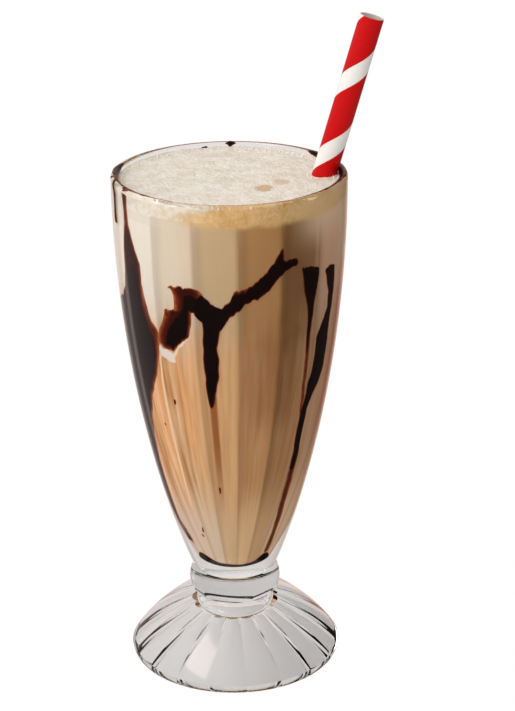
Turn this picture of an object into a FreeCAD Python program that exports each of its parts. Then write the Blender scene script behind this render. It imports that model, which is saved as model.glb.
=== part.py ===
import FreeCAD, Part
import math
import os

# Iced coffee in a pressed soda glass: a footed, fluted glass filled nearly to its lip with
# coffee, a band of crema and a cap of foam, and a paper straw that leans on the lip.
# Millimetres, +Z up. The origin is the middle of the foot, on the surface it stands on.
# An azimuth is measured from the front of the glass (-Y), growing towards +X.

# ---- glass, overall ---------------------------------------------------------------------
GLASS_HEIGHT = 191.0
RIM_RADIUS = 42.5
RIM_WALL = 2.6            # the lip is this thick and fully rounded

# ---- bowl -------------------------------------------------------------------------------
BOWL_START = 36.4         # height where the bowl leaves the collar
BOWL_START_RADIUS = 15.4
BOWL_SPREAD = 2.0         # how soon the bowl opens out on its way up
BOWL_SWELL = 0.92         # how full its lower part is: 1 is plain, less is fuller
LOW_WALL = 10.4           # wall at the bottom of the bowl
WALL_THINS_OVER = 0.68    # the share of the bowl's height over which the wall thins
FLOOR_HEIGHT = 40.0       # lowest point of the inside
FLOOR_ROUNDING = 4.0      # height over which the floor turns into the wall

# ---- flutes: flats pressed into the inside of the bowl, which meet in corners -----------
FLUTES = 16
FLUTE_CROWN = 0.25        # how far the middle of a flat bulges into the bowl
FLUTE_AZIMUTH = 4.7       # of the corner next to the front
FLUTES_DEEPEN_OVER = 40.0 # height above the floor over which they reach their full depth
FLUTES_BELOW_LIP = 3.0    # they end this far below the lip
FLUTES_FADE_OVER = 14.0   # and fade out over this height

# ---- collar -----------------------------------------------------------------------------
COLLAR_RADIUS = 17.2
COLLAR_START = 26.3       # height of the groove under the collar
COLLAR_NECK = 15.9        # radius in that groove

# ---- foot -------------------------------------------------------------------------------
FOOT_RADIUS = 39.8
FOOT_EDGE = 4.0           # height of the foot's rounded edge
FOOT_EDGE_TUCK = 2.8      # how far that edge turns in towards the table
FOOT_SWELL = 2.3          # how far the dome stands out from a straight cone
FOOT_RING = 2.4           # width of the flat ring it stands on
HOLLOW_TOP_RADIUS = 13.0  # where the panels of the hollow end at its ceiling
HOLLOW_SHOULDER = 16.5    # height of that ring
HOLLOW_SWELL = 1.0        # how far the panels stand out from a straight cone
HOLLOW_CEILING = 21.0     # height of the ceiling's middle
CEILING_LEDGE = 0.6       # step from the panels in to the ceiling
PANELS = 16
PANEL_DEPTH = 1.4
PANEL_AZIMUTH = 7.0       # of the rib next to the front

# ---- drink ------------------------------------------------------------------------------
FOAM_BELOW_LIP = 2.2
FOAM_THICKNESS = 4.6
CREMA_THICKNESS = 3.4

# ---- straw ------------------------------------------------------------------------------
STRAW_RADIUS = 4.4
STRAW_WALL = 0.45
STRAW_ABOVE_LIP = 54.6    # height of its mouth above the lip
STRAW_ABOVE_FLOOR = 14.0  # height of its lower end above the floor
STRAW_LIP_AZIMUTH = 98.5  # where it rests against the lip
STRAW_LOW_AZIMUTH = 222.4 # where its lower end stands near the wall of the bowl
STRAW_LIP_GAP = 0.3       # to the inside of the lip
STRAW_WALL_GAP = 0.6      # from its lower end to the wall of the bowl

# ---- levels worked out from the sizes above ---------------------------------------------
LIP_ROUND = RIM_WALL / 2
LIP_CENTRE = GLASS_HEIGHT - LIP_ROUND
FLUTE_START = FLOOR_HEIGHT + FLOOR_ROUNDING
FLUTE_END = GLASS_HEIGHT - FLUTES_BELOW_LIP
FOAM_TOP = GLASS_HEIGHT - FOAM_BELOW_LIP
CREMA_TOP = FOAM_TOP - FOAM_THICKNESS
COFFEE_TOP = CREMA_TOP - CREMA_THICKNESS

UP = FreeCAD.Vector(0, 0, 1)
ORIGIN = FreeCAD.Vector(0, 0, 0)


# ---- outlines: a radius for each height -------------------------------------------------
def rise(height):
    """How far up the bowl a height is: 0 at the collar, 1 at the lip."""
    return (height - BOWL_START) / (LIP_CENTRE - BOWL_START)


def bowl_radius(height):
    opening = 1 - (1 - rise(height)) ** BOWL_SPREAD
    return BOWL_START_RADIUS + (RIM_RADIUS - BOWL_START_RADIUS) * opening ** BOWL_SWELL


def smooth(share):
    """0 to 1 with a level start and end."""
    share = min(1.0, max(0.0, share))
    return share * share * (3 - 2 * share)


def wall_thickness(height):
    return LOW_WALL + (RIM_WALL - LOW_WALL) * smooth(rise(height) / WALL_THINS_OVER)


def inside_radius(height):
    """The inside of the bowl, midway between the corners and the middles of its flats."""
    short_of_wall = max(0.0, 1 - (height - FLOOR_HEIGHT) / FLOOR_ROUNDING)
    return (bowl_radius(height) - wall_thickness(height)) * math.sqrt(1 - short_of_wall ** 3)


def flute_depth(height):
    """How much farther out the corners are than the middles of the flats. The flutes deepen
    above the floor and fade out below the lip."""
    flat = inside_radius(height) * (1 - math.cos(math.pi / FLUTES))
    deepened = smooth((height - FLUTE_START) / FLUTES_DEEPEN_OVER)
    return (flat + FLUTE_CROWN) * deepened * smooth((FLUTE_END - height) / FLUTES_FADE_OVER)


def foot_radius(height):
    """The foot's dome: a cone from the collar's groove to its edge, swollen at mid-height."""
    along = (height - FOOT_EDGE) / (COLLAR_START - FOOT_EDGE)
    cone = FOOT_RADIUS + (COLLAR_NECK - FOOT_RADIUS) * along
    return cone + 4 * FOOT_SWELL * along * (1 - along)


def hollow_radius(height):
    """The hollow under the foot, midway between its ribs and the middles of its panels."""
    along = height / HOLLOW_SHOULDER
    mouth = FOOT_RADIUS - FOOT_EDGE_TUCK - FOOT_RING
    cone = mouth + (HOLLOW_TOP_RADIUS - mouth) * along
    return cone + 4 * HOLLOW_SWELL * along * (1 - along)


# ---- helpers ----------------------------------------------------------------------------
def at(radius, height, azimuth=90.0):
    """A point round the glass. With no azimuth it lies on the right, in the XZ plane."""
    turn = math.radians(azimuth - 90)
    return FreeCAD.Vector(radius * math.cos(turn), radius * math.sin(turn), height)


def steps(low, high, count):
    return [low + (high - low) * i / count for i in range(count + 1)]


def line(start, end):
    return Part.LineSegment(start, end).toShape()


def arc(start, middle, end):
    return Part.Arc(start, middle, end).toShape()


def curve(points):
    spline = Part.BSplineCurve()
    spline.interpolate(points)
    return spline.toShape()


def turned(edges):
    """The solid that a closed outline sweeps when it turns once round the glass's axis."""
    return Part.Face(Part.Wire(edges)).revolve(ORIGIN, UP, 360)


def ring_of_arcs(corner_radius, middle_radius, height, count, azimuth):
    """A closed ring of equal arcs that meet in corners."""
    pitch = 360 / count
    corners = [azimuth + i * pitch for i in range(count)]
    return Part.Wire([
        arc(at(corner_radius, height, corner),
            at(middle_radius, height, corner + pitch / 2),
            at(corner_radius, height, corner + pitch))
        for corner in corners
    ])


def slab(low, high):
    """All that lies between two heights, wider than the glass."""
    return Part.makeCylinder(2 * RIM_RADIUS, high - low, FreeCAD.Vector(0, 0, low), UP)


# ---- glass ------------------------------------------------------------------------------
def lip_arc(side):
    """A quarter of the rounded lip: side is 1 for its outer quarter and -1 for its inner one."""
    crest = RIM_RADIUS - LIP_ROUND
    halfway = LIP_ROUND * math.sqrt(0.5)
    return arc(at(crest + side * LIP_ROUND, LIP_CENTRE),
               at(crest + side * halfway, LIP_CENTRE + halfway),
               at(crest, GLASS_HEIGHT))


def glass_body():
    """The outside of the glass, not hollowed yet."""
    edge_foot = at(FOOT_RADIUS - FOOT_EDGE_TUCK, 0)
    edge_side = at(FOOT_RADIUS - FOOT_EDGE_TUCK * (1 - math.sqrt(0.5)), FOOT_EDGE * (1 - math.sqrt(0.5)))
    return turned([
        line(ORIGIN, edge_foot),
        arc(edge_foot, edge_side, at(FOOT_RADIUS, FOOT_EDGE)),
        curve([at(foot_radius(z), z) for z in steps(FOOT_EDGE, COLLAR_START, 4)]),
        arc(at(COLLAR_NECK, COLLAR_START),
            at(COLLAR_RADIUS, (COLLAR_START + BOWL_START) / 2),
            at(bowl_radius(BOWL_START), BOWL_START)),
        curve([at(bowl_radius(z), z) for z in steps(BOWL_START, LIP_CENTRE, 12)]),
        lip_arc(1),
        line(at(RIM_RADIUS - LIP_ROUND, GLASS_HEIGHT), at(0, GLASS_HEIGHT)),
        line(at(0, GLASS_HEIGHT), ORIGIN),
    ])


def bowl_inside():
    """All that the bowl can hold, up to the top of its lip."""
    # steps that grow as squares keep the outline smooth where it crosses the axis
    floor_heights = [FLOOR_HEIGHT + FLOOR_ROUNDING * share ** 2 for share in steps(0, 1, 8)]
    floor = turned([
        curve([at(inside_radius(z), z) for z in floor_heights]),
        line(at(inside_radius(FLUTE_START), FLUTE_START), at(0, FLUTE_START)),
        line(at(0, FLUTE_START), at(0, FLOOR_HEIGHT)),
    ])
    fade_start = FLUTE_END - FLUTES_FADE_OVER
    wall_heights = steps(FLUTE_START, fade_start, 11) + steps(fade_start, FLUTE_END, 4)[1:] + [LIP_CENTRE]
    wall = Part.makeLoft([
        ring_of_arcs(inside_radius(z) + flute_depth(z) / 2, inside_radius(z) - flute_depth(z) / 2,
                     z, FLUTES, FLUTE_AZIMUTH)
        for z in wall_heights
    ], True)
    mouth = turned([
        lip_arc(-1),
        line(at(RIM_RADIUS - LIP_ROUND, GLASS_HEIGHT), at(0, GLASS_HEIGHT)),
        line(at(0, GLASS_HEIGHT), at(0, LIP_CENTRE)),
        line(at(0, LIP_CENTRE), at(RIM_RADIUS - RIM_WALL, LIP_CENTRE)),
    ])
    return floor.fuse([wall, mouth]).removeSplitter()


def foot_hollow():
    """The panelled hollow under the foot, closed by a shallow dome."""
    panels = Part.makeLoft([
        ring_of_arcs(hollow_radius(z) - PANEL_DEPTH / 2, hollow_radius(z) + PANEL_DEPTH / 2,
                     z, PANELS, PANEL_AZIMUTH)
        for z in steps(0, HOLLOW_SHOULDER, 5)
    ], True)
    brim = HOLLOW_TOP_RADIUS - PANEL_DEPTH / 2 - CEILING_LEDGE
    dome_rise = HOLLOW_CEILING - HOLLOW_SHOULDER
    ceiling = turned([
        arc(at(brim, HOLLOW_SHOULDER),
            at(brim * math.sqrt(0.5), HOLLOW_SHOULDER + dome_rise * math.sqrt(0.5)),
            at(0, HOLLOW_CEILING)),
        line(at(0, HOLLOW_CEILING), at(0, HOLLOW_SHOULDER)),
        line(at(0, HOLLOW_SHOULDER), at(brim, HOLLOW_SHOULDER)),
    ])
    return panels.fuse(ceiling).removeSplitter()


# ---- straw ------------------------------------------------------------------------------
def straw_axis():
    """The lower end and the mouth of the straw's axis: it stands near the wall of the bowl and
    leans on the lip, each in its own direction from the middle."""
    low = FLOOR_HEIGHT + STRAW_ABOVE_FLOOR
    slope = 0.0
    # a slanted tube is wider across a level cut, and how much wider depends on its slope
    for _ in range(8):
        half_width = STRAW_RADIUS * math.hypot(1, slope)
        low_reach = inside_radius(low) - STRAW_WALL_GAP - half_width
        lip_reach = RIM_RADIUS - RIM_WALL - STRAW_LIP_GAP - half_width
        low_end = at(low_reach, low, STRAW_LOW_AZIMUTH)
        run = at(lip_reach, LIP_CENTRE, STRAW_LIP_AZIMUTH) - low_end
        slope = math.hypot(run.x, run.y) / run.z
    length_share = (GLASS_HEIGHT + STRAW_ABOVE_LIP - low) / run.z
    return low_end, low_end + run * length_share


def straw_rod(radius):
    low, mouth = straw_axis()
    axis = mouth - low
    return Part.makeCylinder(radius, axis.Length, low, axis)


# ---- the pieces -------------------------------------------------------------------------
def build():
    inside = bowl_inside()
    rod = straw_rod(STRAW_RADIUS)
    bore = straw_rod(STRAW_RADIUS - STRAW_WALL)
    filling = slab(FLOOR_HEIGHT - 1, COFFEE_TOP)
    in_straw = bore.common(slab(FLOOR_HEIGHT - 1, FOAM_TOP))
    return {
        "glass": glass_body().cut([inside, foot_hollow()]),
        "coffee": inside.common(filling).cut(rod).fuse(in_straw).removeSplitter(),
        "crema": inside.common(slab(COFFEE_TOP, CREMA_TOP)).cut(rod),
        "foam": inside.common(slab(CREMA_TOP, FOAM_TOP)).cut(rod),
        "straw": rod.cut(bore),
    }


os.makedirs("parts", exist_ok=True)
for node, shape in build().items():
    if not shape.isValid() or len(shape.Solids) != 1:
        raise ValueError(node + " is not one sound solid")
    solid = shape.Solids[0]
    solid.exportStep("parts/" + node + ".step")
    box = solid.BoundBox
    print(f"{node}: {solid.Volume / 1000:.2f} cm3, X {box.XMin:.2f} to {box.XMax:.2f}, "
          f"Y {box.YMin:.2f} to {box.YMax:.2f}, Z {box.ZMin:.2f} to {box.ZMax:.2f}")
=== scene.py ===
import bpy
import math
import numpy as np
from mathutils import Matrix, Vector


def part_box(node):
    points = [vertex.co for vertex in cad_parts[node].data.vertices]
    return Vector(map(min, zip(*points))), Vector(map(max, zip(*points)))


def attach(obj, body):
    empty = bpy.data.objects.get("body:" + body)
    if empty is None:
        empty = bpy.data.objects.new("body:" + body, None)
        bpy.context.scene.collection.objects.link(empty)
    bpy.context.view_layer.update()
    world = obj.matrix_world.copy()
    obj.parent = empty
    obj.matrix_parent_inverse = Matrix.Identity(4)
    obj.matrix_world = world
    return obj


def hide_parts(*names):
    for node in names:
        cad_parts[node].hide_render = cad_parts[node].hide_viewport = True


# Iced coffee in a pressed soda glass, with a paper straw. Sizes are in millimetres, as in the
# part's source, and every point is turned into metres when its mesh is made.
# An azimuth is measured from the front of the glass (-Y), growing towards +X, in degrees.

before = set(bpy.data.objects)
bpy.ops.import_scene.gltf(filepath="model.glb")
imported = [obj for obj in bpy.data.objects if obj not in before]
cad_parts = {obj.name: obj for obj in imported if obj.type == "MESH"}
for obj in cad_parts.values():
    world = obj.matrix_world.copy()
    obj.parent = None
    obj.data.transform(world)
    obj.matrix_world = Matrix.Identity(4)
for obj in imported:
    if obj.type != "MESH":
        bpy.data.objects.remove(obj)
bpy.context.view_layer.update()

MM = 0.001
glass_low, glass_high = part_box("glass")
foam_low, foam_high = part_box("foam")

# ---- levels and sizes read from the frame -----------------------------------------------
GLASS_HEIGHT = glass_high.z / MM
RIM_RADIUS = (glass_high.x - glass_low.x) / 2 / MM
FOAM_TOP = foam_high.z / MM
CREMA_TOP = foam_low.z / MM
COFFEE_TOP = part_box("crema")[0].z / MM
FLOOR_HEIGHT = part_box("coffee")[0].z / MM

# ---- sizes of the pressed glass, as in the part's source --------------------------------
RIM_WALL = 2.6
BOWL_START = 36.4
BOWL_START_RADIUS = 15.4
BOWL_SPREAD = 2.0
BOWL_SWELL = 0.92
LOW_WALL = 10.4
WALL_THINS_OVER = 0.68
FLOOR_ROUNDING = 4.0
FLUTES = 16
FLUTE_CROWN = 0.25
FLUTE_AZIMUTH = 4.7
FLUTES_DEEPEN_OVER = 40.0
FLUTES_BELOW_LIP = 3.0
FLUTES_FADE_OVER = 14.0
COLLAR_RADIUS = 17.2
COLLAR_START = 26.3
COLLAR_NECK = 15.9
FOOT_RADIUS = 39.8
FOOT_EDGE = 4.0
FOOT_EDGE_TUCK = 2.8
FOOT_SWELL = 2.3
FOOT_RING = 2.4
HOLLOW_TOP_RADIUS = 13.0
HOLLOW_SHOULDER = 16.5
HOLLOW_SWELL = 1.0
HOLLOW_CEILING = 21.0
CEILING_LEDGE = 0.6
PANELS = 16
PANEL_DEPTH = 1.4
PANEL_AZIMUTH = 7.0
STRAW_RADIUS = 4.4
STRAW_WALL = 0.45
STRAW_ABOVE_LIP = 54.6
STRAW_ABOVE_FLOOR = 14.0
STRAW_LIP_AZIMUTH = 98.5
STRAW_LOW_AZIMUTH = 222.4
STRAW_LIP_GAP = 0.3
STRAW_WALL_GAP = 0.6

LIP_ROUND = RIM_WALL / 2
LIP_CENTRE = GLASS_HEIGHT - LIP_ROUND
FLUTE_START = FLOOR_HEIGHT + FLOOR_ROUNDING
FLUTE_END = GLASS_HEIGHT - FLUTES_BELOW_LIP

# ---- how the drink meets the glass -------------------------------------------------------
INTO_WALL = 0.12          # the drink reaches this far into the wall, so that no air shows
SAUCE_INTO_WALL = 0.26    # and the sauce on the wall a little further
SAUCE_THICKNESS = 0.75
MILK_INTO_WALL = 0.19     # milk on the wall lies between the drink and the sauce
MILK_THICKNESS = 0.3
LIP_SAUCE_THICKNESS = 0.5
LIP_SAUCE_INTO_GLASS = 0.06

COLUMNS = 256             # points round the glass
CREASE = math.radians(19) # edges that turn more than this are sharp


# ---- outlines ---------------------------------------------------------------------------
def smooth(share):
    share = np.clip(share, 0.0, 1.0)
    return share * share * (3 - 2 * share)


def rise(height):
    return (height - BOWL_START) / (LIP_CENTRE - BOWL_START)


def bowl_radius(height):
    opening = 1 - (1 - np.clip(rise(height), 0, 1)) ** BOWL_SPREAD
    return BOWL_START_RADIUS + (RIM_RADIUS - BOWL_START_RADIUS) * opening ** BOWL_SWELL


def wall_thickness(height):
    return LOW_WALL + (RIM_WALL - LOW_WALL) * smooth(rise(height) / WALL_THINS_OVER)


def inside_radius(height):
    short_of_wall = np.clip(1 - (height - FLOOR_HEIGHT) / FLOOR_ROUNDING, 0, 1)
    return (bowl_radius(height) - wall_thickness(height)) * np.sqrt(1 - short_of_wall ** 3)


def flute_depth(height):
    flat = inside_radius(height) * (1 - math.cos(math.pi / FLUTES))
    deepened = smooth((height - FLUTE_START) / FLUTES_DEEPEN_OVER)
    return (flat + FLUTE_CROWN) * deepened * smooth((FLUTE_END - height) / FLUTES_FADE_OVER)


def foot_radius(height):
    along = (height - FOOT_EDGE) / (COLLAR_START - FOOT_EDGE)
    cone = FOOT_RADIUS + (COLLAR_NECK - FOOT_RADIUS) * along
    return cone + 4 * FOOT_SWELL * along * (1 - along)


def hollow_radius(height):
    along = height / HOLLOW_SHOULDER
    mouth = FOOT_RADIUS - FOOT_EDGE_TUCK - FOOT_RING
    cone = mouth + (HOLLOW_TOP_RADIUS - mouth) * along
    return cone + 4 * HOLLOW_SWELL * along * (1 - along)


def ring_of_arcs(corner_radius, middle_radius, count, first_corner, azimuth):
    """The radius at an azimuth of a ring of equal arcs that meet in corners."""
    half = math.pi / count
    turn = np.radians(azimuth - first_corner) % (2 * half) - half
    bulge = corner_radius * math.cos(half) - middle_radius
    bulge = np.where(np.abs(bulge) < 1e-5, 1e-5, bulge)
    centre = (corner_radius ** 2 - middle_radius ** 2) / (2 * bulge)
    outwards = np.sign(middle_radius - centre)
    reach = (middle_radius - centre) ** 2 - (centre * np.sin(turn)) ** 2
    return centre * np.cos(turn) + outwards * np.sqrt(reach)


def wall_radius(azimuth, height):
    """The fluted inside of the bowl."""
    middle, depth = inside_radius(height), flute_depth(height)
    return ring_of_arcs(middle + depth / 2, middle - depth / 2, FLUTES, FLUTE_AZIMUTH, azimuth)


def panel_radius(azimuth, height):
    """The hollow under the foot, with the ribs turned to the flutes' corners."""
    middle = hollow_radius(height)
    return ring_of_arcs(
        middle - PANEL_DEPTH / 2, middle + PANEL_DEPTH / 2, PANELS, FLUTE_AZIMUTH, azimuth)


def azimuths_round(columns=COLUMNS):
    """Equal steps round the glass, from a corner between two flutes."""
    return FLUTE_AZIMUTH + np.arange(columns) * 360 / columns


def at(radius, azimuth, height):
    turn = np.radians(azimuth)
    radius, turn, height = np.broadcast_arrays(radius, turn, height)
    return np.stack([radius * np.sin(turn), -radius * np.cos(turn), height], axis=-1)


# ---- meshes -----------------------------------------------------------------------------
def add_object(name, data):
    made = bpy.data.objects.new(name, data)
    bpy.context.scene.collection.objects.link(made)
    return made


def new_piece(name, points, faces):
    """A smooth mesh from points in millimetres."""
    mesh = bpy.data.meshes.new(name)
    mesh.from_pydata((np.asarray(points) * MM).tolist(), [], faces)
    mesh.update()
    mesh.polygons.foreach_set("use_smooth", [True] * len(mesh.polygons))
    mesh.set_sharp_from_angle(angle=CREASE)
    return add_object(name, mesh)


def quads(low, high, columns):
    """The faces between two rings of points, each given by the number of its first point."""
    afters = [(column + 1) % columns for column in range(columns)]
    return [(low + column, low + after, high + after, high + column)
            for column, after in enumerate(afters)]


def turned_piece(name, rings, columns=COLUMNS):
    """A closed skin from rings of points, listed so that its outside faces out. A ring is
    (radius, height, twist), with one radius or one for each column, and a twist in degrees
    that may be left out. A radius of 0 is a pole."""
    azimuths = azimuths_round(columns)
    points = []
    starts = []
    for radius, height, *twist in rings:
        starts.append(len(points))
        if np.ndim(radius) == 0 and radius == 0:
            points.append((0.0, 0.0, height))
        else:
            turned = azimuths + (twist[0] if twist else 0.0)
            points.extend(at(radius, turned, height))
    starts.append(len(points))
    faces = []
    for ring in range(len(rings) - 1):
        low, high, end = starts[ring:ring + 3]
        for quad in quads(low, high, columns):
            if high - low == 1:
                quad = (low, *quad[2:])
            elif end - high == 1:
                quad = (*quad[:2], high)
            faces.append(quad)
    return new_piece(name, points, faces)


def arc_between(start, middle, end, count):
    """Points on the arc through three (radius, height) points, the first one left out."""
    (ax, ay), (bx, by), (cx, cy) = start, middle, end
    rows = np.array([[bx - ax, by - ay], [cx - ax, cy - ay]]) * 2
    centre = np.linalg.solve(rows, [bx**2 - ax**2 + by**2 - ay**2, cx**2 - ax**2 + cy**2 - ay**2])
    radius = math.hypot(ax - centre[0], ay - centre[1])
    turns = [math.atan2(y - centre[1], x - centre[0]) for x, y in (start, end)]
    return [
        (centre[0] + radius * math.cos(turn), centre[1] + radius * math.sin(turn))
        for turn in np.linspace(*turns, count + 1)[1:]
    ]


# ---- glass ------------------------------------------------------------------------------
def glass_rings():
    azimuths = azimuths_round()
    twist = PANEL_AZIMUTH - FLUTE_AZIMUTH
    brim = HOLLOW_TOP_RADIUS - PANEL_DEPTH / 2 - CEILING_LEDGE
    dome_rise = HOLLOW_CEILING - HOLLOW_SHOULDER
    rings = [(0, HOLLOW_CEILING)]
    for turn in np.radians(np.linspace(4, 90, 22)):
        rings.append((brim * math.sin(turn), HOLLOW_SHOULDER + dome_rise * math.cos(turn), twist))
    for height in [HOLLOW_SHOULDER, *np.linspace(HOLLOW_SHOULDER - 0.15, 0.15, 28), 0.0]:
        rings.append((panel_radius(azimuths, height), height, twist))
    edge_start = FOOT_RADIUS - FOOT_EDGE_TUCK
    for inset in (1.8, 0.9, 0.2):
        rings.append((edge_start - inset, 0.0, twist))
    for turn in np.radians(np.linspace(0, 90, 13)):
        radius = edge_start + FOOT_EDGE_TUCK * math.sin(turn)
        rings.append((radius, FOOT_EDGE * (1 - math.cos(turn)), twist))
    dome = np.linspace(FOOT_EDGE, COLLAR_START, 44)[1:]
    for share, height in zip(np.linspace(1, 0, len(dome)), dome):
        rings.append((foot_radius(height), height, twist * share))
    collar = arc_between(
        (COLLAR_NECK, COLLAR_START),
        (COLLAR_RADIUS, (COLLAR_START + BOWL_START) / 2),
        (bowl_radius(BOWL_START), BOWL_START),
        24,
    )
    rings.extend(collar)
    for share in np.linspace(0, 1, 90)[1:]:
        height = BOWL_START + (LIP_CENTRE - BOWL_START) * share ** 1.4
        rings.append((bowl_radius(height), height))
    crest = RIM_RADIUS - LIP_ROUND
    for turn in np.radians(np.linspace(0, 180, 21)[1:]):
        rings.append((crest + LIP_ROUND * math.cos(turn), LIP_CENTRE + LIP_ROUND * math.sin(turn)))
    for height in np.linspace(LIP_CENTRE, FLUTE_START, 84)[1:]:
        rings.append((wall_radius(azimuths, height), height))
    for share in np.linspace(1, 0, 20)[1:-1]:
        height = FLOOR_HEIGHT + FLOOR_ROUNDING * share ** 2
        rings.append((inside_radius(height), height))
    rings.append((0, FLOOR_HEIGHT))
    return rings


# ---- drink ------------------------------------------------------------------------------
def drink_rings(low, high, count):
    """The filling of the bowl between two levels, a little way into the wall."""
    azimuths = azimuths_round()
    if low <= FLOOR_HEIGHT:
        rings = [(0, FLOOR_HEIGHT - INTO_WALL)]
        for share in np.linspace(0, 1, 24)[1:]:
            height = FLOOR_HEIGHT + FLOOR_ROUNDING * share ** 2
            rings.append((inside_radius(height) + INTO_WALL, height))
        low = FLUTE_START
    else:
        rings = [(0, low), (wall_radius(azimuths, low) * 0.9, low)]
    for height in np.linspace(low, high, count):
        rings.append((wall_radius(azimuths, height) + INTO_WALL, height))
    rings.append((wall_radius(azimuths, high) * 0.9, high))
    rings.append((0, high))
    return rings


def wander(azimuth, along, round_count, size, seed):
    """Smooth random values from -1 to 1, in cells round_count to a turn and a size long."""
    table = np.random.default_rng(seed).uniform(-1, 1, (512, round_count))
    across = (np.asarray(azimuth) % 360) * round_count / 360
    up = np.asarray(along) / size + 100
    column = np.floor(across).astype(int)
    row = np.floor(up).astype(int)
    s = smooth(across - column)
    t = smooth(up - row)
    column, after = column % round_count, (column + 1) % round_count
    row, above = row % 512, (row + 1) % 512
    low = table[row, column] * (1 - s) + table[row, after] * s
    high = table[above, column] * (1 - s) + table[above, after] * s
    return low * (1 - t) + high * t


def grain(x, y, size, seed):
    """Smooth random values from -1 to 1 on the level, in cells of a size."""
    return wander(x * 360 / (128 * size), y, 128, size, seed)


def froth_height(radius, azimuth):
    """How far the foam stands above its level: fine froth, an edge drawn up the wall and the
    straw, and a dimple that the straw presses in."""
    spot = at(radius, azimuth, 0.0)
    x, y = spot[..., 0], spot[..., 1]
    froth = 0.10 * grain(x, y, 1.1, 5) + 0.08 * grain(y, x, 2.3, 6)
    froth = froth + 0.16 * grain(x + y, x - y, 9.0, 7)
    straw_x, straw_y = straw_at(FOAM_TOP)
    to_straw = np.hypot(x - straw_x, y - straw_y) - STRAW_RADIUS
    to_wall = inside_radius(FOAM_TOP) - radius
    drawn_up = 0.5 * np.exp(-np.clip(to_wall, 0, None) / 0.8)
    drawn_up += 0.4 * np.exp(-np.clip(to_straw, 0, None) / 1.0)
    pressed_in = 0.9 * np.exp(-(np.clip(to_straw, 0, None) / 6.0) ** 2)
    return froth + drawn_up - pressed_in


def foam_rings(columns):
    azimuths = azimuths_round(columns)
    edge = inside_radius(FOAM_TOP) + INTO_WALL
    rings = [(0, CREMA_TOP), (edge * 0.9, CREMA_TOP)]
    for height in np.linspace(CREMA_TOP, FOAM_TOP, 5):
        rings.append((inside_radius(height) + INTO_WALL, height))
    for radius in np.linspace(edge, 0.3, 200):
        rings.append((radius, FOAM_TOP + froth_height(radius, azimuths)))
    rings.append((0, FOAM_TOP))
    return rings


# Rings of froth bubbles: how far their edges are from the wall, and from the straw's axis.
RING_AT_WALL = (0.6, 2.6)
RING_AT_STRAW = (5.2, 6.6)
RING_STEPS = 96
BUBBLES = {"Density": 620000.0, "Smallest": 0.16 * MM, "Largest": 0.44 * MM, "Seed": 4}


def froth_rings():
    """Rings laid on the foam, beside the wall and round the straw, for bubbles to sit on."""
    points = []
    faces = []
    wall = inside_radius(FOAM_TOP)
    at_wall = (0, 0, *(wall - inset for inset in RING_AT_WALL))
    for x, y, *edges in (at_wall, (*straw_at(FOAM_TOP), *RING_AT_STRAW)):
        start = len(points)
        for turn in np.radians(np.arange(RING_STEPS) * 360 / RING_STEPS):
            for reach in edges:
                spot_x, spot_y = x + reach * math.sin(turn), y + reach * math.cos(turn)
                azimuth = math.degrees(math.atan2(spot_x, -spot_y))
                height = FOAM_TOP + froth_height(math.hypot(spot_x, spot_y), azimuth)
                points.append((spot_x * MM, spot_y * MM, height * MM))
        for step in range(RING_STEPS):
            here = start + 2 * step
            after = start + 2 * ((step + 1) % RING_STEPS)
            faces.append((here, after, after + 1, here + 1))
    return points, faces


def add_node(tree, kind, sockets=None, **settings):
    """A node with its settings made, and its sockets linked or given a value."""
    made = tree.nodes.new(kind)
    for name, setting in settings.items():
        setattr(made, name, setting)
    for name, value in (sockets or {}).items():
        if isinstance(value, Value):
            value = value.socket
        if isinstance(value, bpy.types.NodeSocket):
            tree.links.new(value, made.inputs[name])
        else:
            made.inputs[name].default_value = value
    return made


def bubble_tree(material):
    """Geometry Nodes that strew balls of random sizes over the faces they are given."""
    tree = bpy.data.node_groups.new("bubbles_on_froth", "GeometryNodeTree")
    sockets = [("Geometry", "Geometry", "INPUT"), ("Density", "Float", "INPUT"),
               ("Smallest", "Float", "INPUT"), ("Largest", "Float", "INPUT"),
               ("Seed", "Int", "INPUT"), ("Geometry", "Geometry", "OUTPUT")]
    for name, kind, in_out in sockets:
        tree.interface.new_socket(name, in_out=in_out, socket_type="NodeSocket" + kind)

    def chain(kind, sockets, output):
        return add_node(tree, "GeometryNode" + kind, sockets).outputs[output]

    given = add_node(tree, "NodeGroupInput").outputs
    spots = chain("DistributePointsOnFaces", {
        "Mesh": given["Geometry"], "Density": given["Density"], "Seed": given["Seed"]}, "Points")
    ball = chain("MeshUVSphere", {"Segments": 10, "Rings": 6, "Radius": 1.0}, "Mesh")
    size = add_node(tree, "FunctionNodeRandomValue", {
        "Min": given["Smallest"], "Max": given["Largest"], "Seed": given["Seed"],
    }, data_type="FLOAT")
    balls = chain("InstanceOnPoints", {
        "Points": spots, "Instance": ball, "Scale": size.outputs["Value"]}, "Instances")
    balls = chain("RealizeInstances", {"Geometry": balls}, "Geometry")
    balls = chain("SetShadeSmooth", {"Geometry": balls}, "Geometry")
    balls = chain("SetMaterial", {"Geometry": balls, "Material": material}, "Geometry")
    add_node(tree, "NodeGroupOutput", {"Geometry": balls})
    return tree


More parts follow.
